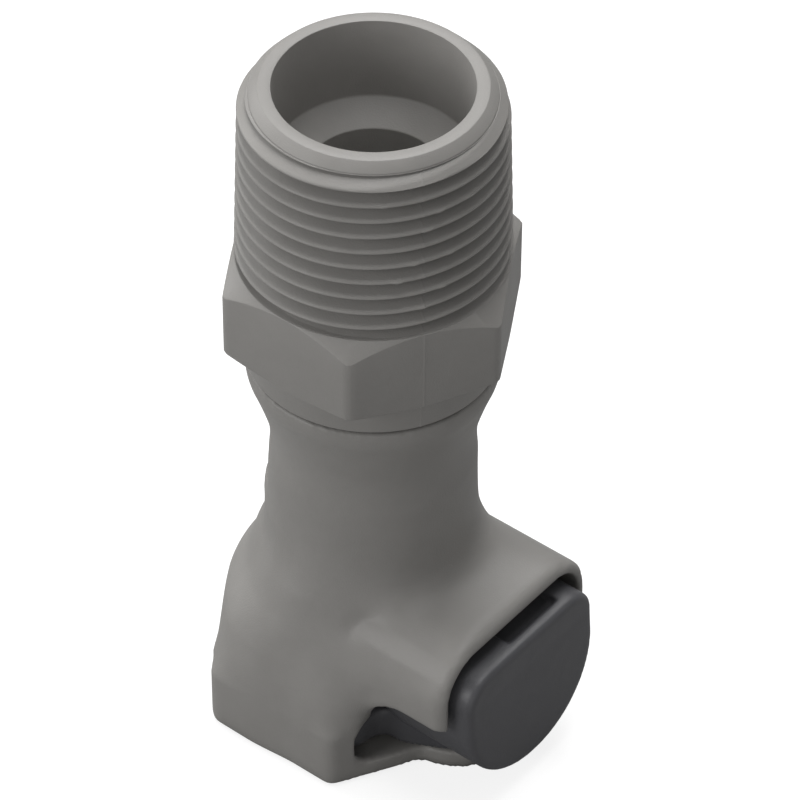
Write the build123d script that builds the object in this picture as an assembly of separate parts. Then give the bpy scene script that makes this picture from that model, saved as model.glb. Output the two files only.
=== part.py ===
"""Plastic quick disconnect coupling body with a male pipe thread and a thumb latch.

Millimetres, +Z up along the flow axis. The origin is the centre of the socket's mouth, on the flat end face
that the body stands on. The latch button points along -Y and the pipe thread points up.
"""

import os
from math import cos, pi, radians, sin, sqrt, tan

from build123d import *

# ---------------------------------------------------------------- driving dimensions
# Pipe thread, 3/4 inch taper pipe thread
thread_pitch = 25.4 / 14
thread_taper = 1 / 32  # growth of the radius per unit of length
thread_depth = 1.25
thread_crests = 10
thread_first_radius = 12.8  # crest radius of the first full crest at the free end
thread_crest_flat = 0.3
lead_cone_length = 1.05  # from the rim's step down to the first crest
lead_step_radius = 11.75
rim_height = 1.05
rim_chamfer = 0.85
thread_runout = 1.47  # plain neck between the last crest and the hexagon

# Heights along the flow axis
tongue_height = 2.3  # thickness of the end face under the latch slot
slot_height = 5.3
flange_height_back = 9.0
flange_height_front = 11.6
hood_edge_z = 12.4  # lower edge of the hood's cheeks
hood_top_z = 21.7
neck_start_z = 34.0
neck_waist_z = 36.6
collar_start_z = 44.3
weld_z = 45.8  # joint line between body and adapter
adapter_collar_height = 3.7
hexagon_height = 9.2

# Body
flange_half_width = 15.3
flange_slant_apothem = 14.24  # of the four slanting faces
flange_shift = 0.95  # the hexagonal flange sits this far behind the flow axis
flange_corner_radius = 1.3
flange_edge_radius = 0.8
neck_base_radius = 10.8
waist_radius = 10.15
waist_blend = 4.0
collar_blend = 1.2
collar_radius = 12.55
socket_radius = 9.0
socket_depth = 14.0
socket_lead_chamfer = 0.7
seal_bore_radius = 7.6
seal_bore_end = 24.4
seat_radius = 5.6
seat_cone_length = 2.0
chamber_radius = 8.2
chamber_end = 41.6
adapter_spigot_radius = 10.3
adapter_spigot_length = 1.3
socket_wall = 1.9

# Hood and latch pocket
hood_reach = 19.0
hood_half_width = 11.9
hood_wall = 1.4  # of the cheeks
hood_roof = 1.8
hood_corner_radius = 6.5
pocket_corner_radius = 4.0
hood_lip_radius = 0.9
hood_neck_fillet = 0.7
tongue_radius = 6.5
tongue_centre = 11.0
window_start = 8.2
window_corner_radius = 5.2
back_pad_half_width = 7.2
back_pad_bottom = 19.0
back_pad_top = 28.5
back_pad_relief = 0.5

# Latch
latch_travel = 2.0
latch_gap = 0.3  # running clearance of the plate in its slot
plate_half_width = 12.6
plate_back = 10.8
plate_corner_radius = 5.5
plate_edge_radius = 2.1
plate_nose_half_width = 3.2
plate_front = 7.6
skirt_back = 7.5
plate_hole_radius = 9.3
latch_bite = 1.2  # how far the plate reaches into the socket at rest
button_face_y = 20.2
button_radius = 10.0
button_top_z = 18.4
button_corner_radius = 3.4
button_wall = 1.7
button_face_thickness = 2.2
button_edge_radius = 0.7
button_notch_width = 8.0
button_notch_depth = 0.9
stop_radius = 0.9
stop_height = 0.8
stop_x = 10.9
stop_y = 3.2

# Latch spring
latch_spring_z = 13.2
latch_spring_radius = 2.5  # to the middle of the wire
latch_spring_wire = 0.7
latch_spring_turns = 4.5
spring_post_radius = 1.6
spring_post_length = 1.8
spring_seat_depth = 0.6
spring_seat_clearance = 0.35

# Adapter
hexagon_across_flats = 26.7
hexagon_turn = 30.0  # degrees between a corner and +X
hexagon_chamfer_top = 37.0  # degrees
hexagon_chamfer_bottom = 16.0
thread_bore_radius = 9.55
thread_bore_depth = 9.0
flow_bore_radius = 6.5
flow_bore_lead = 1.6

# Shutoff valve
valve_travel = 5.0
valve_head_radius = 6.9
valve_head_height = 3.4
valve_stem_radius = 1.6
valve_gap = 0.25  # between the seal and the seat, and round the stem
seal_wire = 1.0  # radius of the ring's section
seal_groove_depth = 0.9
guide_height = 2.6
guide_hub_radius = 3.3
guide_rim_width = 1.9
guide_spoke_width = 1.7
guide_spokes = 4
valve_spring_radius = 4.9
valve_spring_wire = 0.9
valve_spring_turns = 4.5
fit_gap = 0.02  # between two fixed plastic parts

# ---------------------------------------------------------------- derived places
slot_top = tongue_height + slot_height
adapter_bottom = weld_z - adapter_spigot_length
hexagon_bottom = weld_z + adapter_collar_height
hexagon_top = hexagon_bottom + hexagon_height
last_crest_z = hexagon_top + thread_runout
first_crest_z = last_crest_z + (thread_crests - 1) * thread_pitch
step_z = first_crest_z + lead_cone_length
top_z = step_z + rim_height
core_radius = socket_radius + socket_wall
pocket_half_width = hood_half_width - hood_wall
pocket_top = hood_top_z - hood_roof
guide_bottom = adapter_bottom - guide_height
plate_bottom = tongue_height + latch_gap
plate_top = slot_top - latch_gap
plate_hole_y = socket_radius - latch_bite - plate_hole_radius
button_centre_z = plate_bottom + button_radius


def revolved(points):
    """A solid of revolution about Z from an (r, z) outline."""
    outline = Polyline(*[(r, 0, z) for r, z in points], close=True)
    return revolve(make_face(outline), Axis.Z, 360)


def tube(outer, inner, bottom, top):
    return revolved([(inner, bottom), (outer, bottom), (outer, top), (inner, top)])


def rod(radius, bottom, top):
    return Pos(0, 0, (bottom + top) / 2) * Cylinder(radius, top - bottom)


def coil(mean_radius, wire, length, turns):
    """A round-wire compression spring that stands on the XY plane."""
    path = Helix((length - wire) / turns, length - wire, mean_radius)
    section = Plane(path @ 0, z_dir=path % 0) * Circle(wire / 2)
    return Pos(0, 0, wire / 2) * sweep(section, path, is_frenet=True)


# ---------------------------------------------------------------- body
def blended_section(z, half_width, slant_share, sharpness, shift):
    """A closed outline between a circle (sharpness 2) and a hexagon with flats at +-X (sharpness high)."""
    count = 48
    unit = (1 + 2 * 0.5**sharpness) ** (1 / sharpness)
    points = []
    for step in range(count):
        angle = 2 * pi * step / count
        spread = 0
        for k in range(6):
            share = 1 if k % 3 == 0 else slant_share
            spread += (max(0.0, cos(angle - pi * k / 3)) / share) ** sharpness
        radius = half_width * unit / spread ** (1 / sharpness)
        points.append((radius * cos(angle), shift + radius * sin(angle), z))
    return make_face(Spline(*points, periodic=True))


def hexagonal_flange():
    """The wrench flange at the socket end. Its top slopes up towards the latch."""
    slant = tan(pi / 6)
    side = flange_slant_apothem / cos(pi / 6) - flange_half_width * slant
    tip = flange_slant_apothem / cos(pi / 6)
    half = flange_half_width
    corners = [(half, -side), (half, side), (0, tip), (-half, side), (-half, -side), (0, -tip)]
    outline = make_face(Polyline(*corners, close=True))
    outline = fillet(outline.vertices(), flange_corner_radius)
    prism = Pos(0, flange_shift, 0) * extrude(outline, flange_height_front + 3)
    slope = (flange_height_front - flange_height_back) / (2 * side)
    cut_height = (flange_height_front + flange_height_back) / 2
    roof = Plane(origin=(0, flange_shift, cut_height), z_dir=(0, slope, 1))
    flange = split(prism, bisect_by=roof, keep=Keep.BOTTOM)
    flange = fillet(flange.faces().sort_by(Axis.Z)[-1].edges(), flange_edge_radius)
    return fillet(flange.faces().sort_by(Axis.Z)[0].edges(), flange_edge_radius)


def shoulder_and_neck():
    """The housing above the flange, from the hexagon through the rounded shoulder to the waist and collar."""
    half = flange_half_width
    share = flange_slant_apothem / flange_half_width
    sections = [
        (flange_height_back - 2, half - 0.05, share, 24, flange_shift),
        (9.5, half - 0.3, share, 16, flange_shift),
        (12.0, half - 0.5, share + 0.01, 10, flange_shift),
        (14.5, half - 1.0, share + 0.02, 6.5, 1.0),
        (17.0, half - 1.7, share + 0.035, 4.6, 1.1),
        (19.5, half - 2.45, share + 0.05, 3.4, 1.15),
        (22.0, half - 3.35, share + 0.06, 2.6, 0.95),
        (24.5, half - 4.3, 1, 2.1, 0.5),
        (28.0, neck_base_radius - 0.9, 1, 2, 0.1),
    ]
    shoulder = loft([blended_section(*s) for s in sections])
    with BuildSketch(Plane.XZ) as outline:
        with BuildLine():
            side = Polyline(
                (neck_base_radius, flange_height_front),
                (neck_base_radius - 0.3, neck_start_z - 3.5),
                (waist_radius, neck_waist_z),
                (collar_radius, collar_start_z),
                (collar_radius, weld_z),
            )
            Polyline(side @ 0, (0, flange_height_front), (0, weld_z), side @ 1)
        make_face()
        fillet(outline.vertices().sort_by_distance((waist_radius, neck_waist_z, 0))[0], waist_blend)
        fillet(outline.vertices().sort_by_distance((collar_radius, collar_start_z, 0))[0], collar_blend)
    neck = revolve(outline.sketch, Axis.Z, 360)
    return shoulder + neck + back_pad()


def back_pad():
    """A raised pad with a round top on the back of the neck. It runs out into the shoulder below."""
    straight = back_pad_top - back_pad_half_width - back_pad_bottom
    profile = Plane.XZ * Pos(0, back_pad_bottom + straight / 2) * Rectangle(2 * back_pad_half_width, straight)
    profile += Plane.XZ * Pos(0, back_pad_top - back_pad_half_width) * Circle(back_pad_half_width)
    prism = extrude(profile, -collar_radius - 3)
    return prism & rod(neck_base_radius + back_pad_relief, back_pad_bottom, back_pad_top)


def blend_hood(body):
    """Rounds the inner corner where the hood meets the shoulder and the neck."""
    seams = []
    for edge in body.edges().filter_by(GeomType.BSPLINE):
        place = edge.center()
        if place.Y < -5 and hood_edge_z < place.Z < hood_top_z + 1 and edge.length > 4:
            seams.append(edge)
    return body.fillet(hood_neck_fillet, seams)


def arch(half_width, top, corner, bottom, start, end):
    """A prism along -Y whose profile is an arch with round upper corners."""
    height = top - bottom
    profile = Plane.XZ * Pos(0, bottom + height / 2) * Rectangle(2 * half_width, height)
    upper = profile.vertices().sort_by(Axis.Z)[-2:]
    profile = fillet(upper, corner)
    return Pos(0, -start, 0) * extrude(profile, end - start)


def latch_window():
    """The opening under the hood, right across the body, with a round upper corner at its back."""
    reach = hood_reach + 12
    half = plate_half_width + latch_gap
    profile = Plane.YZ * Pos(-(window_start + reach) / 2, (tongue_height + hood_edge_z) / 2)
    profile = profile * Rectangle(reach - window_start, hood_edge_z - tongue_height)
    corner = profile.vertices().sort_by(Axis.Y)[-2:].sort_by(Axis.Z)[-1:]
    profile = fillet(corner, window_corner_radius)
    return extrude(profile, half, both=True)


def rounded_plate(clearance, back, front):
    """The latch plate's envelope: round side edges, and a plan with round rear corners."""
    half = plate_half_width + clearance
    bottom = plate_bottom - clearance
    height = plate_top - plate_bottom + 2 * clearance
    edge = min(plate_edge_radius + clearance, height / 2 - 0.01)
    section = Plane.XZ * Pos(0, bottom + height / 2) * Rectangle(2 * half, height)
    section = fillet(section.vertices(), edge)
    bar = Pos(0, back, 0) * extrude(section, back + front)
    plan = Pos(0, (back - front) / 2) * Rectangle(2 * half, back + front)
    plan = fillet(plan.vertices().sort_by(Axis.Y)[-2:], plate_corner_radius + clearance)
    return bar & (Pos(0, 0, bottom) * extrude(plan, height))


def coupler_body():
    body = hexagonal_flange() + shoulder_and_neck()
    hood = arch(hood_half_width, hood_top_z, hood_corner_radius, tongue_height, 0, hood_reach)
    lip = [edge for edge in hood.faces().sort_by(Axis.Y)[0].edges() if edge.center().Z > tongue_height + 1]
    hood = fillet(lip, hood_lip_radius)
    body = blend_hood(body + hood)
    tongue = Pos(0, -tongue_centre, 0) * rod(tongue_radius, 0, tongue_height + 1)
    body += tongue

    core = rod(core_radius, slot_top, weld_z)
    body -= latch_window() - core
    pocket = arch(pocket_half_width, pocket_top, pocket_corner_radius, slot_top, 3, hood_reach + 5)
    body -= pocket - core
    body -= rounded_plate(latch_gap, plate_back + latch_travel + latch_gap, hood_reach + 5)

    bore = revolved(
        [
            (0, -1),
            (socket_radius + socket_lead_chamfer + 1, -1),
            (socket_radius, socket_lead_chamfer),
            (socket_radius, socket_depth),
            (seal_bore_radius, socket_depth + 1),
            (seal_bore_radius, seal_bore_end),
            (seat_radius, seal_bore_end),
            (seat_radius, seal_bore_end + 0.8),
            (chamber_radius, seal_bore_end + 0.8 + seat_cone_length),
            (chamber_radius, chamber_end),
            (adapter_spigot_radius + fit_gap, chamber_end),
            (adapter_spigot_radius + fit_gap, weld_z + 1),
            (0, weld_z + 1),
        ]
    )
    body -= bore

    for side in (-1, 1):
        groove_length = latch_travel + 2 * stop_radius + latch_gap
        groove_y = stop_y - stop_radius - latch_gap / 2 + groove_length / 2
        groove_height = plate_edge_radius + stop_height + latch_gap
        groove = Box(2 * stop_radius + 2 * latch_gap, groove_length, groove_height)
        body -= Pos(side * stop_x, groove_y, slot_top - plate_edge_radius + groove_height / 2) * groove
    spring_seat = Pos(0, -core_radius + spring_seat_depth - 5, latch_spring_z) * Rot(90, 0, 0)
    body -= spring_seat * Cylinder(latch_spring_radius + latch_spring_wire / 2 + spring_seat_clearance, 10)
    post = Rot(90, 0, 0) * Cylinder(spring_post_radius, spring_post_length + 1)
    post_y = -core_radius + spring_seat_depth - (spring_post_length - 1) / 2
    body += Pos(0, post_y, latch_spring_z) * post
    return body


# ---------------------------------------------------------------- latch
def button_profile(inset):
    """The button's outline seen along Y: round below, flat on top with round corners."""
    radius = button_radius - inset
    top = button_top_z - button_centre_z - inset
    disc = Circle(radius)
    block = Pos(0, top / 2) * Rectangle(2 * radius, top)
    block = fillet(block.vertices().sort_by(Axis.Y)[-2:], max(button_corner_radius - inset, 0.5))
    lower = disc - Pos(0, radius) * Rectangle(4 * radius, 2 * radius)
    return Plane.XZ * Pos(0, button_centre_z) * (block + lower)


def thumb_latch():
    button = Pos(0, -skirt_back, 0) * extrude(button_profile(0), button_face_y - skirt_back)
    front_edges = button.faces().sort_by(Axis.Y)[0].edges()
    button = fillet(front_edges, button_edge_radius)
    hollow = extrude(button_profile(button_wall), button_face_y - button_face_thickness - skirt_back + 1)
    button -= Pos(0, -skirt_back + 1, 0) * hollow
    notch = Box(button_notch_width, 4.2, 2 * button_notch_depth)
    button -= Pos(2.0, -button_face_y + 3.6, button_top_z) * notch
    clear = core_radius + latch_gap
    for shift in (0, latch_travel):
        button -= Pos(0, -shift, 0) * rod(clear, 0, 40)

    front_edge = -button_face_y + button_face_thickness
    nose = make_face(
        Polyline((9, -7), (-9, -7), (-plate_nose_half_width, front_edge), (plate_nose_half_width, front_edge), close=True)
    )
    plate = rounded_plate(0, plate_back, plate_front)
    plate += Pos(0, 0, plate_bottom) * extrude(nose, plate_top - plate_bottom)
    plate -= Pos(0, plate_hole_y, 0) * rod(plate_hole_radius, 0, 30)
    latch = button + plate
    for side in (-1, 1):
        latch += Pos(side * stop_x, stop_y, 0) * rod(stop_radius, plate_top - 1, plate_top + stop_height)
    post = Rot(90, 0, 0) * Cylinder(spring_post_radius, spring_post_length + 1)
    post_y = -button_face_y + button_face_thickness + (spring_post_length - 1) / 2
    latch += Pos(0, post_y, latch_spring_z) * post
    return latch


def latch_spring():
    start = core_radius - spring_seat_depth
    end = button_face_y - button_face_thickness
    spring = coil(latch_spring_radius, latch_spring_wire, end - start - 0.1, latch_spring_turns)
    return Pos(0, -start - 0.05, latch_spring_z) * Rot(90, 0, 0) * spring


# ---------------------------------------------------------------- adapter
def thread_outline():
    """The taper thread as rings: crest flats on the taper, with 60 degree flanks."""
    flank = thread_depth * tan(radians(30))
    points = []
    for k in range(thread_crests):
        crest_z = last_crest_z + (thread_crests - 1 - k) * thread_pitch
        crest_r = thread_first_radius + k * thread_pitch * thread_taper
        points.append((crest_r, crest_z + thread_crest_flat / 2))
        points.append((crest_r, crest_z - thread_crest_flat / 2))
        root_r = crest_r - thread_depth
        points.append((root_r, crest_z - thread_crest_flat / 2 - flank))
        if k < thread_crests - 1:
            points.append((root_r, crest_z - thread_pitch + thread_crest_flat / 2 + flank))
    return points


def chamfered_hexagon():
    circum = hexagon_across_flats / sqrt(3)
    flat_radius = hexagon_across_flats / 2
    prism = Pos(0, 0, hexagon_bottom) * extrude(RegularPolygon(circum, 6, rotation=hexagon_turn), hexagon_height)
    top_drop = (circum - flat_radius) * tan(radians(hexagon_chamfer_top))
    bottom_rise = (circum - flat_radius) * tan(radians(hexagon_chamfer_bottom))
    envelope = revolved(
        [
            (0, hexagon_bottom),
            (flat_radius, hexagon_bottom),
            (circum + 0.01, hexagon_bottom + bottom_rise),
            (circum + 0.01, hexagon_top - top_drop),
            (flat_radius, hexagon_top),
            (0, hexagon_top),
        ]
    )
    return prism & envelope


def threaded_adapter():
    root_r = thread_first_radius + (thread_crests - 1) * thread_pitch * thread_taper - thread_depth
    stem = revolved(
        [(0, step_z), (lead_step_radius, step_z)]
        + thread_outline()
        + [
            (root_r, hexagon_top - 1),
            (0, hexagon_top - 1),
        ]
    )
    rim = revolved(
        [
            (0, step_z - 0.5),
            (lead_step_radius - 0.1, step_z - 0.5),
            (lead_step_radius - 0.1, step_z + rim_height - rim_chamfer),
            (lead_step_radius - 0.1 - rim_chamfer, top_z),
            (0, top_z),
        ]
    )
    base = rod(collar_radius, weld_z, hexagon_bottom + 1) + rod(adapter_spigot_radius, adapter_bottom, weld_z + 1)
    bore = revolved(
        [
            (0, adapter_bottom - 1),
            (flow_bore_radius, adapter_bottom - 1),
            (flow_bore_radius, top_z - thread_bore_depth - flow_bore_lead),
            (thread_bore_radius, top_z - thread_bore_depth),
            (thread_bore_radius, top_z + 1),
            (0, top_z + 1),
        ]
    )
    return base + chamfered_hexagon() + stem + rim - bore


# ---------------------------------------------------------------- shutoff valve
seal_ring_radius = valve_head_radius - seal_groove_depth + seal_wire
seal_z = seal_bore_end + 0.8 + seat_cone_length + 0.6


def valve_poppet():
    base = seal_bore_end + 0.4
    groove_half = seal_wire + 0.05
    head_top = seal_z + groove_half + 0.9
    head = revolved(
        [
            (0, base),
            (seat_radius - valve_gap - 1.2, base),
            (seat_radius - valve_gap - 0.4, base + 0.6),
            (valve_head_radius - seal_groove_depth, seal_z - groove_half),
            (valve_head_radius - seal_groove_depth, seal_z + groove_half),
            (valve_head_radius, seal_z + groove_half),
            (valve_head_radius, head_top),
            (valve_stem_radius, head_top),
            (valve_stem_radius, adapter_bottom + 1.2),
            (valve_stem_radius - 0.4, adapter_bottom + 1.6),
            (0, adapter_bottom + 1.6),
        ]
    )
    return head


def valve_seal():
    return Pos(0, 0, seal_z) * Torus(seal_ring_radius, seal_wire)


def valve_guide():
    rim_outer = adapter_spigot_radius
    rim = tube(rim_outer, rim_outer - guide_rim_width, guide_bottom + fit_gap, adapter_bottom - fit_gap)
    hub = rod(guide_hub_radius, guide_bottom + fit_gap, adapter_bottom - fit_gap)
    guide = rim + hub
    for k in range(guide_spokes):
        spoke = Pos(rim_outer / 2, 0, 0) * Box(rim_outer - 0.8, guide_spoke_width, guide_height - 2 * fit_gap)
        guide += Rot(0, 0, 360 * k / guide_spokes) * Pos(0, 0, guide_bottom + guide_height / 2) * spoke
    return guide - rod(valve_stem_radius + 0.08, 0, 100)


def valve_spring():
    bottom = seal_z + seal_wire + 0.05 + 0.9
    spring = coil(valve_spring_radius, valve_spring_wire, guide_bottom - bottom - 0.1, valve_spring_turns)
    return Pos(0, 0, bottom + 0.05) * spring


# ---------------------------------------------------------------- write the nodes
NODES = {
    "coupler_body": coupler_body,
    "threaded_adapter": threaded_adapter,
    "thumb_latch": thumb_latch,
    "latch_spring": latch_spring,
    "valve_poppet": valve_poppet,
    "valve_seal": valve_seal,
    "valve_guide": valve_guide,
    "valve_spring": valve_spring,
}

os.makedirs("parts", exist_ok=True)
for node_name, make in NODES.items():
    export_step(make(), f"parts/{node_name}.step")
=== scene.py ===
"""Looks for a plastic quick disconnect coupling body: housing, threaded end, latch, springs and the stage."""

from math import acos, cos, exp, pi, radians, sin, tan

import bmesh
import bpy
import numpy as np
from mathutils import Matrix, Vector


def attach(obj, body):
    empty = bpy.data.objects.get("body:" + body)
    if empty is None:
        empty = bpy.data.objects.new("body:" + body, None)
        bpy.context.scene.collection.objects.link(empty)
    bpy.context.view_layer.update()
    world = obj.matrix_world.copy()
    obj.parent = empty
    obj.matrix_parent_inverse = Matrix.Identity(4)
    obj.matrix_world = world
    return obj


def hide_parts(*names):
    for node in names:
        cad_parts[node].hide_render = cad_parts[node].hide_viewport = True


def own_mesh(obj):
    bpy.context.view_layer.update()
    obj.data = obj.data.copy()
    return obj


bl_info = {
    "name": "Quick disconnect coupling",
    "version": (1, 0, 0),
    "blender": (4, 5, 0),
    "location": "3D View > Sidebar > Coupling",
    "description": "Builds the visual pieces of a plastic quick disconnect coupling and its stage",
    "category": "Object",
}

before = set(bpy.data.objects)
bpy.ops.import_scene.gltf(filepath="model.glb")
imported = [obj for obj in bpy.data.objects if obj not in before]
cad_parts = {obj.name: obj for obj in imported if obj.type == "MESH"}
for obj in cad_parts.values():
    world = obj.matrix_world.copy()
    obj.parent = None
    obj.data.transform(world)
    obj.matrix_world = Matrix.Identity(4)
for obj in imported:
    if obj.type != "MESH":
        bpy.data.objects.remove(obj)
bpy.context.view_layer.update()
MM = 0.001


def linear(code):
    """An sRGB hex colour as linear RGBA."""
    parts = [int(code[i : i + 2], 16) / 255 for i in (1, 3, 5)]
    return (*[c / 12.92 if c <= 0.04045 else ((c + 0.055) / 1.055) ** 2.4 for c in parts], 1.0)


# ---------------------------------------------------------------- settings
class HousingSettings(bpy.types.PropertyGroup):
    """How the moulded housing and the latch are smoothed."""

    voxel: bpy.props.FloatProperty(
        name="Voxel", description="Size of the housing's cells", default=0.00036, unit="LENGTH"
    )
    latch_voxel: bpy.props.FloatProperty(
        name="Latch voxel", description="Size of the latch's cells", default=0.0003, unit="LENGTH"
    )
    edge_passes: bpy.props.IntProperty(
        name="Edge passes", description="Smoothing of every outer edge", default=9
    )
    blend_passes: bpy.props.IntProperty(
        name="Blend passes", description="Smoothing of the large blends", default=150
    )


class ThreadSettings(bpy.types.PropertyGroup):
    """The helical taper thread."""

    pitch: bpy.props.FloatProperty(
        name="Pitch", description="14 threads per inch", default=0.0254 / 14, unit="LENGTH"
    )
    crest_radius: bpy.props.FloatProperty(
        name="Crest radius", description="Radius over the first crest", default=0.0128, unit="LENGTH"
    )
    depth: bpy.props.FloatProperty(
        name="Depth", description="Depth of the thread", default=0.00136, unit="LENGTH"
    )
    crest_flat: bpy.props.FloatProperty(
        name="Crest flat", description="Half width of a crest", default=0.0001, unit="LENGTH"
    )
    phase: bpy.props.FloatProperty(
        name="Phase",
        description="Where the first crest meets the lead cone",
        default=radians(-141.3),
        subtype="ANGLE",
    )
    segments: bpy.props.IntProperty(
        name="Segments", description="Columns round the axis", default=192
    )
    rows_per_pitch: bpy.props.IntProperty(
        name="Rows per pitch", description="Rows along one pitch", default=18
    )


class FinishSettings(bpy.types.PropertyGroup):
    """Colours of the plastics, the rubber and the wire."""

    housing_dark: bpy.props.FloatVectorProperty(
        name="Housing, darker",
        description="Darker clouds of the housing's plastic",
        default=linear("#82807d"),
        size=4,
        subtype="COLOR",
    )
    housing_light: bpy.props.FloatVectorProperty(
        name="Housing, lighter",
        description="Lighter clouds of the housing's plastic",
        default=linear("#878582"),
        size=4,
        subtype="COLOR",
    )
    latch_dark: bpy.props.FloatVectorProperty(
        name="Latch, darker",
        description="Darker clouds of the latch's plastic",
        default=linear("#454548"),
        size=4,
        subtype="COLOR",
    )
    latch_light: bpy.props.FloatVectorProperty(
        name="Latch, lighter",
        description="Lighter clouds of the latch's plastic",
        default=linear("#48484b"),
        size=4,
        subtype="COLOR",
    )
    rubber_dark: bpy.props.FloatVectorProperty(
        name="Rubber, darker",
        description="Darker clouds of the seal",
        default=linear("#161616"),
        size=4,
        subtype="COLOR",
    )
    rubber_light: bpy.props.FloatVectorProperty(
        name="Rubber, lighter",
        description="Lighter clouds of the seal",
        default=linear("#1b1b1b"),
        size=4,
        subtype="COLOR",
    )
    wire: bpy.props.FloatVectorProperty(
        name="Wire",
        description="Colour of the spring wire",
        default=linear("#b9bbbd"),
        size=4,
        subtype="COLOR",
    )


class StageSettings(bpy.types.PropertyGroup):
    """Camera and lights."""

    lens: bpy.props.FloatProperty(
        name="Lens", description="Focal length in millimetres", default=217.9
    )
    world: bpy.props.FloatProperty(
        name="Sky", description="Strength of the even white surround", default=0.32
    )
    above: bpy.props.FloatProperty(
        name="Above", description="Power of the overhead light in watts", default=2.3
    )
    back: bpy.props.FloatProperty(
        name="Back", description="Power of the light above the back in watts", default=2.9
    )
    left: bpy.props.FloatProperty(
        name="Left", description="Power of the light on the left in watts", default=1.7
    )
    edge: bpy.props.FloatProperty(
        name="Edge", description="Power of the light behind the left in watts", default=1.6
    )
    right: bpy.props.FloatProperty(
        name="Right", description="Power of the light behind the right in watts", default=0.1
    )
    front: bpy.props.FloatProperty(
        name="Front", description="Power of the low light in front in watts", default=0.35
    )


# ---------------------------------------------------------------- node materials
# Sizes of the patterns. Spark-eroded grain is finer than this, and is drawn as coarse as it needs to show.
CLOUD_SIZE = 6 * MM
CLOUD_RANGE = (0.3, 0.7)
FLOW_MARK_SIZE = 3.5 * MM
GRAIN_SIZE = 0.16 * MM
RELIEF_DEPTH = 0.12 * MM
GLOSS_SPREAD = 0.05
PLASTIC_IOR = 1.49
DIE_LINE_SIZE = 0.2 * MM


def add(tree, kind, settings=None, inputs=None):
    """Adds a node with its settings, values and links. An input given as a socket is linked."""
    node = tree.nodes.new(kind)
    for name, value in (settings or {}).items():
        setattr(node, name, value)
    for name, value in (inputs or {}).items():
        if isinstance(value, bpy.types.NodeSocket):
            tree.links.new(value, node.inputs[name])
        else:
            node.inputs[name].default_value = value
    return node


def moulded_plastic(name, dark, light, roughness, grain, relief):
    """A satin moulded plastic: faint clouds in colour and gloss, a fine grain and soft flow marks."""
    material = bpy.data.materials.new(name)
    material.use_nodes = True
    tree = material.node_tree
    tree.nodes.clear()
    place = add(tree, "ShaderNodeTexCoord").outputs["Object"]
    clouds = add(
        tree,
        "ShaderNodeTexNoise",
        inputs={"Vector": place, "Scale": 1 / CLOUD_SIZE, "Detail": 4.0, "Roughness": 0.6},
    ).outputs["Fac"]
    shade = add(tree, "ShaderNodeValToRGB", inputs={"Fac": clouds})
    for element, position, colour in zip(shade.color_ramp.elements, CLOUD_RANGE, (dark, light)):
        element.position = position
        element.color = colour
    fine = add(
        tree, "ShaderNodeTexNoise", inputs={"Vector": place, "Scale": 1 / GRAIN_SIZE, "Detail": 2.0}
    )
    gloss = add(
        tree,
        "ShaderNodeMapRange",
        inputs={
            "Value": clouds,
            "From Min": CLOUD_RANGE[0],
            "From Max": CLOUD_RANGE[1],
            "To Min": roughness - GLOSS_SPREAD,
            "To Max": roughness + GLOSS_SPREAD,
        },
    )
    marks = add(
        tree,
        "ShaderNodeTexNoise",
        inputs={"Vector": place, "Scale": 1 / FLOW_MARK_SIZE, "Detail": 1.0, "Distortion": 0.6},
    )
    height = add(
        tree,
        "ShaderNodeMath",
        {"operation": "MULTIPLY_ADD"},
        {0: fine.outputs["Fac"], 1: grain, 2: marks.outputs["Fac"]},
    )
    bump = add(
        tree,
        "ShaderNodeBump",
        inputs={"Strength": relief, "Distance": RELIEF_DEPTH, "Height": height.outputs[0]},
    )
    shader = add(
        tree,
        "ShaderNodeBsdfPrincipled",
        inputs={
            "Base Color": shade.outputs["Color"],
            "Roughness": gloss.outputs["Result"],
            "IOR": PLASTIC_IOR,
            "Normal": bump.outputs["Normal"],
        },
    )
    add(tree, "ShaderNodeOutputMaterial", inputs={"Surface": shader.outputs["BSDF"]})
    return material


def drawn_wire(name, colour):
    """Drawn wire: bright metal whose gloss varies in fine die lines."""
    material = bpy.data.materials.new(name)
    material.use_nodes = True
    tree = material.node_tree
    tree.nodes.clear()
    place = add(tree, "ShaderNodeTexCoord").outputs["Object"]
    lines = add(
        tree, "ShaderNodeTexNoise", inputs={"Vector": place, "Scale": 1 / DIE_LINE_SIZE, "Detail": 3.0}
    )
    gloss = add(
        tree, "ShaderNodeMapRange", inputs={"Value": lines.outputs["Fac"], "To Min": 0.2, "To Max": 0.4}
    )
    shader = add(
        tree,
        "ShaderNodeBsdfPrincipled",
        inputs={"Base Color": colour, "Metallic": 1.0, "Roughness": gloss.outputs["Result"]},
    )
    add(tree, "ShaderNodeOutputMaterial", inputs={"Surface": shader.outputs["BSDF"]})
    return material


def shared(name, make, *values):
    """The named material, made at its first use."""
    return bpy.data.materials.get(name) or make(name, *values)


def housing_plastic(finish):
    """Injection-moulded glass-filled polypropylene: satin grey, with a broad soft sheen and faint clouds."""
    return shared(
        "glass_filled_polypropylene",
        moulded_plastic,
        finish.housing_dark,
        finish.housing_light,
        0.5,
        0.5,
        0.35,
    )


def latch_plastic(finish):
    """Moulded acetal: dark grey and a little glossier, so its rounded edges catch the light."""
    return shared("dark_acetal", moulded_plastic, finish.latch_dark, finish.latch_light, 0.42, 0.5, 0.3)


def seal_rubber(finish):
    """Moulded nitrile rubber: dull black, with hardly any highlight."""
    return shared("nitrile_rubber", moulded_plastic, finish.rubber_dark, finish.rubber_light, 0.55, 0.3, 0.3)


def spring_wire(finish):
    """Stainless spring wire: bright, with long narrow highlights along each coil."""
    return shared("stainless_spring_wire", drawn_wire, finish.wire)


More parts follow.
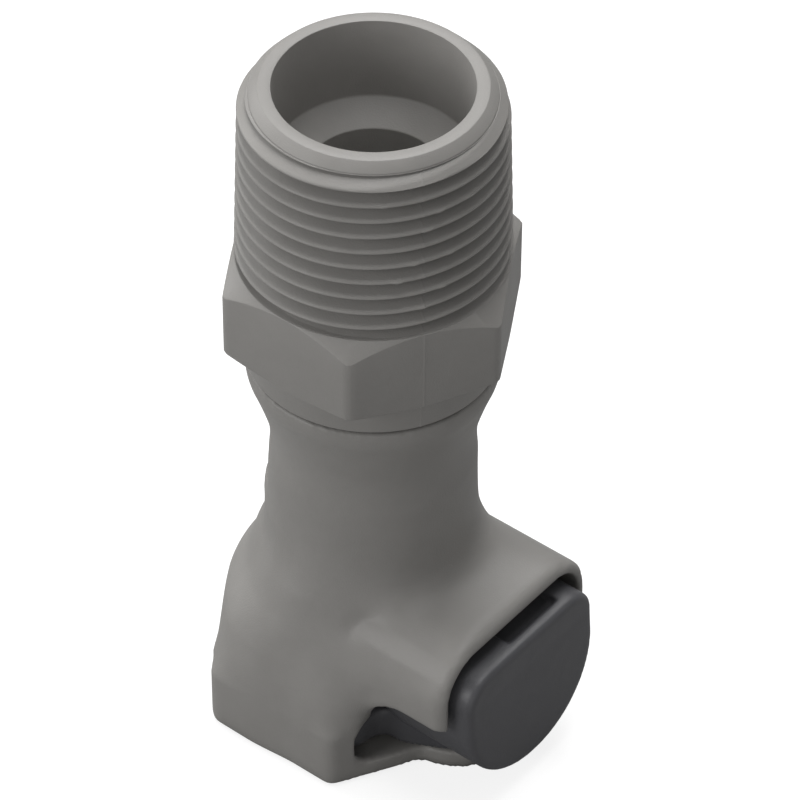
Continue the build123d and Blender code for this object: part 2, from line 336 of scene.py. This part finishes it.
# ---------------------------------------------------------------- pieces and meshes
def dress(node, material):
    """Gives a CAD node one material."""
    node.data.materials.clear()
    node.data.materials.append(material)


def add_piece(name, mesh, material, body, *nodes):
    """Puts a mesh in the scene as a piece that rides on a body and stands for CAD nodes."""
    piece = bpy.data.objects.new(name, mesh)
    bpy.context.collection.objects.link(piece)
    mesh.materials.clear()
    mesh.materials.append(material)
    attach(piece, body)
    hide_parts(*nodes)
    return piece


def welded_copy(node):
    """A copy of a CAD node's mesh with its vertices merged."""
    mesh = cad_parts[node].data.copy()
    work = bmesh.new()
    work.from_mesh(mesh)
    bmesh.ops.remove_doubles(work, verts=work.verts, dist=1e-6)
    work.to_mesh(mesh)
    work.free()
    return mesh


def remesh(piece, voxel, context):
    """Remakes a piece's mesh from small even cells."""
    modifier = piece.modifiers.new("remesh", "REMESH")
    modifier.mode = "VOXEL"
    modifier.voxel_size = voxel
    shown = piece.evaluated_get(context.evaluated_depsgraph_get())
    mesh = bpy.data.meshes.new_from_object(shown)
    piece.modifiers.clear()
    if not mesh.polygons:
        raise RuntimeError(f"{piece.name} has no faces left after the remesh")
    return mesh


def mesh_points(mesh):
    """The vertices in millimetres and the edges of a mesh."""
    points = np.empty(len(mesh.vertices) * 3)
    mesh.vertices.foreach_get("co", points)
    edges = np.empty(len(mesh.edges) * 2, np.int64)
    mesh.edges.foreach_get("vertices", edges)
    return points.reshape(-1, 3) / MM, edges.reshape(-1, 2)


def finish_skin(piece, mesh, points, material):
    """Puts moved points back in a mesh and gives the mesh to its piece."""
    mesh.vertices.foreach_set("co", (points * MM).ravel())
    mesh.shade_smooth()
    mesh.update()
    mesh.materials.clear()
    mesh.materials.append(material)
    piece.data = mesh


def step(value, low, high):
    """A smooth step from 0 at low to 1 at high."""
    t = np.clip((value - low) / (high - low), 0, 1)
    return t * t * (3 - 2 * t)


def hump(value, low, top_low, top_high, high):
    """A smooth hump from 0 at low to 1 between the tops and back to 0 at high."""
    return step(value, low, top_low) * (1 - step(value, top_high, high))


def relax(points, edges, weight, passes):
    """Moves each point towards the mean of its neighbours by its weight, a number of times."""
    counts = np.bincount(edges.ravel(), minlength=len(points))[:, None]
    for _ in range(passes):
        total = np.zeros_like(points)
        for axis in range(3):
            total[:, axis] = np.bincount(edges[:, 0], points[edges[:, 1], axis], len(points))
            total[:, axis] += np.bincount(edges[:, 1], points[edges[:, 0], axis], len(points))
        points += 0.5 * weight[:, None] * (total / counts - points)
    return points


# ---------------------------------------------------------------- housing
# Sizes are in millimetres. Each mask runs from 0 to 1 over the skin, and its limits are places in the frame.
BASE_LAYER = 0.12
SEAL_BORE_TOP = 24.6
NECK_WALL = (9.0, 9.8)
FOOT_WALL = (9.5, 10.6)
NECK_TOP = 45.75
TONGUE_PASSES = 30
SHOULDER_DRAW = 1.35
FLANGE_SPREAD = 0.4
LIP_DRAW = 0.8


def shape_shoulder(points):
    """Draws the shoulder and the hood's lip in, and lets the flange's corners out a little."""
    x, y, z = points.T
    radius = np.hypot(x, y)
    angle = np.degrees(np.arctan2(y, np.abs(x)))
    skin = step(radius, 9.6, 10.6)
    draw = -SHOULDER_DRAW * step(angle, 0, 45) * hump(z, 13, 18, 21.5, 26.5)
    spread = FLANGE_SPREAD * hump(angle, -8, 15, 60, 85) * hump(z, -3, -2, 15, 20)
    points[:, :2] *= (1 + skin * (draw + spread) / np.maximum(radius, 1))[:, None]
    points[:, 1] += LIP_DRAW * step(-y, 15.0, 18.6) * step(z, 10, 13)
    return points


def smooth_housing(points, edges, settings):
    """Softens the skin as a mould does: small edge radii, and large blends at hood, flange and waist."""
    base = points[:, 2] < BASE_LAYER
    x, y, z = points.T
    radius = np.hypot(x, y)
    outer = np.where(z > SEAL_BORE_TOP, step(radius, *NECK_WALL), step(radius, *FOOT_WALL))
    in_pocket = (y < -4) & (np.abs(x) < 11.0) & (z > 1.5) & (z < 20.4)
    in_slot = (z > 2.0) & (z < 8.6) & (np.abs(x) < 13.4) & (y < 13.6)
    outer = np.where(in_pocket | in_slot, 0.0, outer)
    ends = step(z, 0.1, 0.8) * step(NECK_TOP - z, 0.0, 0.3)
    points = relax(points, edges, outer * (0.2 + 0.8 * ends), settings.edge_passes)
    tongue = step(-y, 10.0, 12.5) * (1 - step(z, 1.9, 2.3)) * step(radius, 11, 12)
    points = relax(points, edges, tongue, TONGUE_PASSES)
    points[base, 2] = 0.0
    x, y, z = points.T
    ledge = step(z, 6.8, 8.5) * (1 - step(z, 14.0, 17.0)) * step(y, -9.5, -7.0)
    hood_root = step(y, -17.5, -13.5) * (1 - step(y, -4.0, -1.0))
    hood_root = hood_root * step(z, 12.8, 14.5) * (1 - step(z, 26.0, 29.0))
    crease = step(z, 21.0, 23.5) * (1 - step(z, 30.0, 33.0)) * (1 - step(y, 2.0, 5.0))
    waist = step(z, 33.0, 35.0) * (1 - step(z, 42.0, 43.5))
    blend = np.clip(ledge + hood_root + crease + 0.7 * waist, 0, 1) * outer
    points = relax(points, edges, blend, settings.blend_passes)
    return shape_shoulder(points)


class COUPLING_OT_housing(bpy.types.Operator):
    """Builds the moulded housing with its soft blends"""

    bl_idname = "coupling.housing"
    bl_label = "Build the housing"

    def execute(self, context):
        settings = context.scene.coupling_housing
        plastic = housing_plastic(context.scene.coupling_finish)
        piece = add_piece("housing_skin", welded_copy("coupler_body"), plastic, "housing", "coupler_body")
        skin = remesh(piece, settings.voxel, context)
        points = smooth_housing(*mesh_points(skin), settings)
        finish_skin(piece, skin, points, plastic)
        return {"FINISHED"}


# ---------------------------------------------------------------- threaded end
# Radii and heights in millimetres, from the crown down to the spigot.
CROWN_TOP = 78.6
CROWN_RADIUS = 10.83
LEAD_STEP_TOP = 77.72
LEAD_STEP_RADIUS = 11.66
CONE_TOP = 77.55
CONE_TOP_RADIUS = 11.75
FIRST_CREST = 76.5
BORE_RADIUS = 9.55
BORE_FLOOR = 69.6
FUNNEL_FLOOR = 68.0
FLOW_RADIUS = 6.5
HEX_TOP = 58.7
HEX_BOTTOM = 49.5
HEX_FLAT = 13.35
HEX_SHARPNESS = 140
COLLAR_RADIUS = 12.58
COLLAR_BOTTOM = 46.22
SPIGOT_RADIUS = 11.2
SPIGOT_TOP = 46.1
SPIGOT_BOTTOM = 44.55
TAPER = 1 / 32
FLANK_SLOPE = tan(radians(30))
TOP_CHAMFER = tan(radians(37))
BOTTOM_CHAMFER = tan(radians(16))
SHARP_ANGLE = radians(38)
PARTING_LINES = (radians(-120), radians(60))
PARTING_HEIGHT = 0.035
PARTING_WIDTH = 0.1
PARTING_COLUMNS = (-0.2, -0.12, -0.05, 0.0, 0.05, 0.12, 0.2)

# Flash nibs on the crests: azimuth in degrees, crest counted from the top, and height.
NIBS = (
    (-113, 2, 0.13),
    (-124, 5, 0.16),
    (-131, 6, 0.2),
    (-112, 7, 0.14),
    (-137, 1, 0.1),
    (-118, 3, 0.1),
    (-121, 8, 0.12),
    (-108, 5, 0.1),
    (-150, 4, 0.08),
    (-97, 2, 0.09),
)
NIB_HALF_ANGLE = 0.03
NIB_HALF_WIDTH = 0.25


def hexagon_radius(angle):
    """Radius of the hexagon with slightly round corners."""
    spread = sum(max(0.0, cos(angle - pi * k / 3)) ** HEX_SHARPNESS for k in range(6))
    return HEX_FLAT / spread ** (1 / HEX_SHARPNESS)


def parting_line(angle, radius):
    """Height of the mould's fine parting line."""
    nearest = min(abs((angle - line + pi) % (2 * pi) - pi) for line in PARTING_LINES)
    return PARTING_HEIGHT * exp(-((nearest * radius / PARTING_WIDTH) ** 2))


def crest_nibs(angle, turn):
    """Height of the small flash nibs that the mould left on the crests near its parting line."""
    high = 0.0
    for degrees, number, size in NIBS:
        away = (angle - radians(degrees) + pi) % (2 * pi) - pi
        if round(turn + number) == 0:
            high = max(high, size * exp(-((away / NIB_HALF_ANGLE) ** 2)))
    return high


def thread_radius(angle, z, settings):
    """Outside of the taper thread under its lead cone."""
    pitch = settings.pitch / MM
    crest = settings.crest_radius / MM + (FIRST_CREST - z) * TAPER
    turns = (z - FIRST_CREST) / pitch - (angle - settings.phase) / (2 * pi)
    away = abs((turns + 0.5) % 1 - 0.5) * pitch
    drop = min(settings.depth / MM, max(0.0, away - settings.crest_flat / MM) / FLANK_SLOPE)
    cone = CONE_TOP_RADIUS + (CONE_TOP - z)
    nib = crest_nibs(angle, turns) * exp(-((away / NIB_HALF_WIDTH) ** 2))
    return min(crest - drop, cone) + nib


def corner(before, point, after, radius):
    """Three points that round one corner of an outline."""
    a, p, b = Vector(before), Vector(point), Vector(after)
    u, v = (a - p).normalized(), (b - p).normalized()
    half = acos(max(-1.0, min(1.0, u.dot(v)))) / 2
    if radius == 0 or half < 0.01 or half > 1.56:
        return [tuple(p)] * 3
    reach = min(radius / tan(half), (a - p).length / 2, (b - p).length / 2)
    middle = p + (u + v).normalized() * reach * (1 / cos(half) - tan(half))
    return [tuple(p + u * reach), tuple(middle), tuple(p + v * reach)]


def rounded(points):
    """An outline from (r, z, corner radius) points."""
    line = [points[0][:2]]
    for before, point, after in zip(points, points[1:], points[2:]):
        line += corner(before[:2], point[:2], after[:2], point[2])
    return line + [points[-1][:2]]


def adapter_column(angle, settings):
    """The closed (r, z) outline of the threaded end at one angle."""
    bump = parting_line(angle, HEX_FLAT)
    hexagon = hexagon_radius(angle)
    over = hexagon - HEX_FLAT
    column = rounded(
        [
            (FLOW_RADIUS, SPIGOT_BOTTOM, 0),
            (FLOW_RADIUS, FUNNEL_FLOOR, 0.2),
            (BORE_RADIUS, BORE_FLOOR, 0.3),
            (BORE_RADIUS, CROWN_TOP, 0.12),
            (CROWN_RADIUS, CROWN_TOP, 0.15),
            (LEAD_STEP_RADIUS, LEAD_STEP_TOP, 0.12),
            (LEAD_STEP_RADIUS + 0.03, CONE_TOP, 0.05),
            (CONE_TOP_RADIUS, CONE_TOP, 0),
        ]
    )
    pitch = settings.pitch / MM
    rise = pitch * ((angle - settings.phase) / (2 * pi))
    rows = int((CONE_TOP - HEX_TOP) / pitch + 5) * settings.rows_per_pitch
    top = CONE_TOP + 2 * pitch
    for row in range(rows):
        z = top + rise - row * pitch / settings.rows_per_pitch
        z = min(CONE_TOP - 0.001, max(HEX_TOP, z))
        column.append((thread_radius(angle, z, settings) + bump, z))
    return column + rounded(
        [
            (thread_radius(angle, HEX_TOP, settings) + bump, HEX_TOP, 0),
            (HEX_FLAT - 0.02, HEX_TOP, 0.12),
            (hexagon + bump, HEX_TOP - over * TOP_CHAMFER - 0.05, 0.16),
            (hexagon + bump, HEX_BOTTOM + over * BOTTOM_CHAMFER + 0.05, 0.25),
            (HEX_FLAT - 0.05, HEX_BOTTOM, 0.12),
            (COLLAR_RADIUS + bump, HEX_BOTTOM, 0.12),
            (COLLAR_RADIUS + bump, COLLAR_BOTTOM, 0.15),
            (SPIGOT_RADIUS, SPIGOT_TOP, 0),
            (SPIGOT_RADIUS, SPIGOT_BOTTOM, 0),
        ]
    )


def adapter_mesh(settings):
    """Skins the outline round the axis. No spin, because helix and hexagon change it at each angle."""
    first = settings.phase
    angles = [first + 2 * pi * k / settings.segments for k in range(settings.segments + 1)]
    for line in PARTING_LINES:
        seam = first + (line - first) % (2 * pi)
        angles += [seam + offset / HEX_FLAT for offset in PARTING_COLUMNS]
    work = bmesh.new()
    columns = []
    for angle in sorted(angles):
        x, y = cos(angle) * MM, sin(angle) * MM
        outline = adapter_column(angle, settings)
        columns.append([work.verts.new((r * x, r * y, z * MM)) for r, z in outline])
    for left, right in zip(columns, columns[1:]):
        for k in range(len(left)):
            n = (k + 1) % len(left)
            work.faces.new((left[k], left[n], right[n], right[k]))
    bmesh.ops.remove_doubles(work, verts=work.verts, dist=2e-6)
    bmesh.ops.dissolve_degenerate(work, edges=work.edges, dist=1e-7)
    bmesh.ops.recalc_face_normals(work, faces=work.faces)
    mesh = bpy.data.meshes.new("threaded_end")
    work.to_mesh(mesh)
    work.free()
    mesh.shade_smooth()
    return mesh


class COUPLING_OT_adapter(bpy.types.Operator):
    """Builds the threaded end with its helical taper thread"""

    bl_idname = "coupling.adapter"
    bl_label = "Build the threaded end"

    def execute(self, context):
        mesh = adapter_mesh(context.scene.coupling_thread)
        plastic = housing_plastic(context.scene.coupling_finish)
        piece = add_piece("threaded_end", mesh, plastic, "housing", "threaded_adapter")
        mesh.set_sharp_from_angle(angle=SHARP_ANGLE)
        return {"FINISHED"}


# ---------------------------------------------------------------- latch, in millimetres
PLATE_PASSES = 60
BUTTON_CENTRE_Z = 12.6
BUTTON_RADIUS = 10
BUTTON_GROWTH = 0.15
BUTTON_PROUD = 0.1
BUTTON_LEAN = 0.8


def shape_latch(points, edges):
    """Rounds the plate's front corners, fills out the D-shaped button's sides and leans its foot outwards."""
    x, y, z = points.T
    plate = step(7.9 - z, 0.0, 0.4) * hump(y, -9.5, -8.5, 9.0, 10.0) * step(np.hypot(x, y), 9.9, 10.6)
    points = relax(points, edges, plate, PLATE_PASSES)
    x, y, z = points.T
    down = np.clip(np.arctan2(BUTTON_CENTRE_Z - z, np.abs(x) + 1e-6), 0, pi / 2)
    spread = np.hypot(x, z - BUTTON_CENTRE_Z)
    grow = BUTTON_GROWTH * np.sin(2 * down) * np.clip(spread / BUTTON_RADIUS, 0, 1) ** 2
    grow = grow * step(-y, 9.0, 11.0)
    points[:, 0] *= 1 + grow / np.maximum(spread, 1)
    points[:, 2] = BUTTON_CENTRE_Z + (z - BUTTON_CENTRE_Z) * (1 + grow / np.maximum(spread, 1))
    lean = BUTTON_PROUD + BUTTON_LEAN * np.clip((15 - z) / 12, 0, 1)
    points[:, 1] -= step(-y, 17.0, 19.5) * lean
    return points


class COUPLING_OT_latch(bpy.types.Operator):
    """Builds the latch with its plate and button"""

    bl_idname = "coupling.latch"
    bl_label = "Build the latch"

    def execute(self, context):
        plastic = latch_plastic(context.scene.coupling_finish)
        piece = add_piece("latch_skin", welded_copy("thumb_latch"), plastic, "latch", "thumb_latch")
        skin = remesh(piece, context.scene.coupling_housing.latch_voxel, context)
        finish_skin(piece, skin, shape_latch(*mesh_points(skin)), plastic)
        return {"FINISHED"}


# ---------------------------------------------------------------- inside
# Each spring's node, joint, axis, index of that axis and travel in metres.
SPRINGS = (
    ("latch_spring", "latch_slide", (0, 1, 0), 1, 0.002),
    ("valve_spring", "valve_slide", (0, 0, 1), 2, 0.005),
)


class COUPLING_OT_inside(bpy.types.Operator):
    """Finishes the valve, its seal and the springs"""

    bl_idname = "coupling.inside"
    bl_label = "Finish the inside"

    def execute(self, context):
        finish = context.scene.coupling_finish
        dress(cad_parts["valve_poppet"], housing_plastic(finish))
        dress(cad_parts["valve_guide"], housing_plastic(finish))
        dress(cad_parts["valve_seal"], seal_rubber(finish))
        for node, joint, axis, index, travel in SPRINGS:
            piece = add_piece(node + "_wire", welded_copy(node), spring_wire(finish), "housing", node)
            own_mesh(piece)
        return {"FINISHED"}


# ---------------------------------------------------------------- stage, in metres and degrees
MIDDLE = Vector((0, -0.002, 0.04))
LIGHT_DISTANCE = 0.7
LIGHT_SIZE = 0.35
LIGHTS = (
    ("above", 39, 88),
    ("back", 39, 60),
    ("left", 159, 20),
    ("edge", 99, 20),
    ("right", -21, 20),
    ("front", -141, 10),
)
CAMERA_PLACE = Vector((-0.27046, -0.21845, 0.36268))
CAMERA_FORWARD = Vector((0.57263, 0.45549, -0.68163))
CAMERA_RIGHT = Vector((0.62545, -0.78026, 0.00404))
SENSOR_WIDTH = 36
CLIP_START = 0.02
FLOOR_HALF_WIDTH = 3
FLOOR_GLOW = 0.8


def area_light(name, azimuth, elevation, power):
    """A soft square light that faces the middle of the part."""
    turn, rise = radians(azimuth), radians(elevation)
    away = Vector((cos(turn) * cos(rise), sin(turn) * cos(rise), sin(rise)))
    data = bpy.data.lights.new(name, "AREA")
    data.size = LIGHT_SIZE
    data.energy = power
    lamp = bpy.data.objects.new(name, data)
    lamp.location = MIDDLE + LIGHT_DISTANCE * away
    lamp.rotation_euler = away.to_track_quat("Z", "Y").to_euler()
    bpy.context.collection.objects.link(lamp)


def white_surround(strength):
    """An even white sky that the camera sees as plain white."""
    world = bpy.data.worlds.new("white_surround")
    bpy.context.scene.world = world
    world.use_nodes = True
    tree = world.node_tree
    tree.nodes.clear()
    seen = add(tree, "ShaderNodeLightPath").outputs["Is Camera Ray"]
    level = add(tree, "ShaderNodeMapRange", inputs={"Value": seen, "To Min": strength, "To Max": 1.0})
    sky = add(
        tree,
        "ShaderNodeBackground",
        inputs={"Color": (1, 1, 1, 1), "Strength": level.outputs["Result"]},
    )
    add(tree, "ShaderNodeOutputWorld", inputs={"Surface": sky.outputs["Background"]})


def floor_paper():
    """Matt paper that the camera sees as white, with the part's soft shadow on it."""
    material = bpy.data.materials.new("white_paper")
    material.use_nodes = True
    tree = material.node_tree
    tree.nodes.clear()
    seen = add(tree, "ShaderNodeLightPath").outputs["Is Camera Ray"]
    paper = add(tree, "ShaderNodeBsdfDiffuse", inputs={"Color": linear("#959595")})
    glow = add(tree, "ShaderNodeEmission", inputs={"Color": (1, 1, 1, 1), "Strength": FLOOR_GLOW})
    white = add(
        tree, "ShaderNodeAddShader", inputs={0: paper.outputs["BSDF"], 1: glow.outputs["Emission"]}
    )
    shown = add(
        tree,
        "ShaderNodeMixShader",
        inputs={0: seen, 1: paper.outputs["BSDF"], 2: white.outputs["Shader"]},
    )
    add(tree, "ShaderNodeOutputMaterial", inputs={"Surface": shown.outputs["Shader"]})
    return material


def pale_floor():
    """A plain pale floor under the part."""
    work = bmesh.new()
    bmesh.ops.create_grid(work, x_segments=1, y_segments=1, size=FLOOR_HALF_WIDTH)
    mesh = bpy.data.meshes.new("floor")
    work.to_mesh(mesh)
    work.free()
    mesh.materials.append(floor_paper())
    floor = bpy.data.objects.new("floor", mesh)
    bpy.context.collection.objects.link(floor)


def camera(settings):
    """The camera stands in front of the part's left, well above it."""
    forward = CAMERA_FORWARD.normalized()
    up = CAMERA_RIGHT.cross(forward).normalized()
    right = forward.cross(up)
    data = bpy.data.cameras.new("camera")
    data.lens = settings.lens
    data.sensor_width = SENSOR_WIDTH
    data.clip_start = CLIP_START
    view = bpy.data.objects.new("camera", data)
    turn = Matrix((right, up, -forward)).transposed().to_4x4()
    turn.translation = CAMERA_PLACE
    view.matrix_world = turn
    bpy.context.collection.objects.link(view)
    bpy.context.scene.camera = view


class COUPLING_OT_stage(bpy.types.Operator):
    """Sets the floor, the lights and the camera"""

    bl_idname = "coupling.stage"
    bl_label = "Set the stage"

    def execute(self, context):
        settings = context.scene.coupling_stage
        white_surround(settings.world)
        pale_floor()
        camera(settings)
        for name, azimuth, elevation in LIGHTS:
            area_light(name, azimuth, elevation, getattr(settings, name))
        context.scene.view_settings.view_transform = "Standard"
        return {"FINISHED"}


# ---------------------------------------------------------------- panel and registration
class COUPLING_PT_panel(bpy.types.Panel):
    """Buttons and settings of the coupling"""

    bl_label = "Coupling"
    bl_idname = "COUPLING_PT_panel"
    bl_space_type = "VIEW_3D"
    bl_region_type = "UI"
    bl_category = "Coupling"

    def draw(self, context):
        scene = context.scene
        for group, operators in (
            (scene.coupling_housing, ("coupling.housing", "coupling.latch", "coupling.inside")),
            (scene.coupling_thread, ("coupling.adapter",)),
            (scene.coupling_finish, ()),
            (scene.coupling_stage, ("coupling.stage",)),
        ):
            box = self.layout.box()
            for name in group.__annotations__:
                box.prop(group, name)
            for operator in operators:
                box.operator(operator)


SETTINGS = (
    ("coupling_housing", HousingSettings),
    ("coupling_thread", ThreadSettings),
    ("coupling_finish", FinishSettings),
    ("coupling_stage", StageSettings),
)
CLASSES = (
    COUPLING_OT_housing,
    COUPLING_OT_adapter,
    COUPLING_OT_latch,
    COUPLING_OT_inside,
    COUPLING_OT_stage,
    COUPLING_PT_panel,
)


def register():
    for name, group in SETTINGS:
        bpy.utils.register_class(group)
        setattr(bpy.types.Scene, name, bpy.props.PointerProperty(type=group))
    for cls in CLASSES:
        bpy.utils.register_class(cls)


def unregister():
    for cls in reversed(CLASSES):
        bpy.utils.unregister_class(cls)
    for name, group in reversed(SETTINGS):
        delattr(bpy.types.Scene, name)
        bpy.utils.unregister_class(group)


def main():
    """Registers the classes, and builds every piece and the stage."""
    register()
    bpy.ops.coupling.housing()
    bpy.ops.coupling.adapter()
    bpy.ops.coupling.latch()
    bpy.ops.coupling.inside()
    bpy.ops.coupling.stage()


if __name__ == "__main__":
    main()
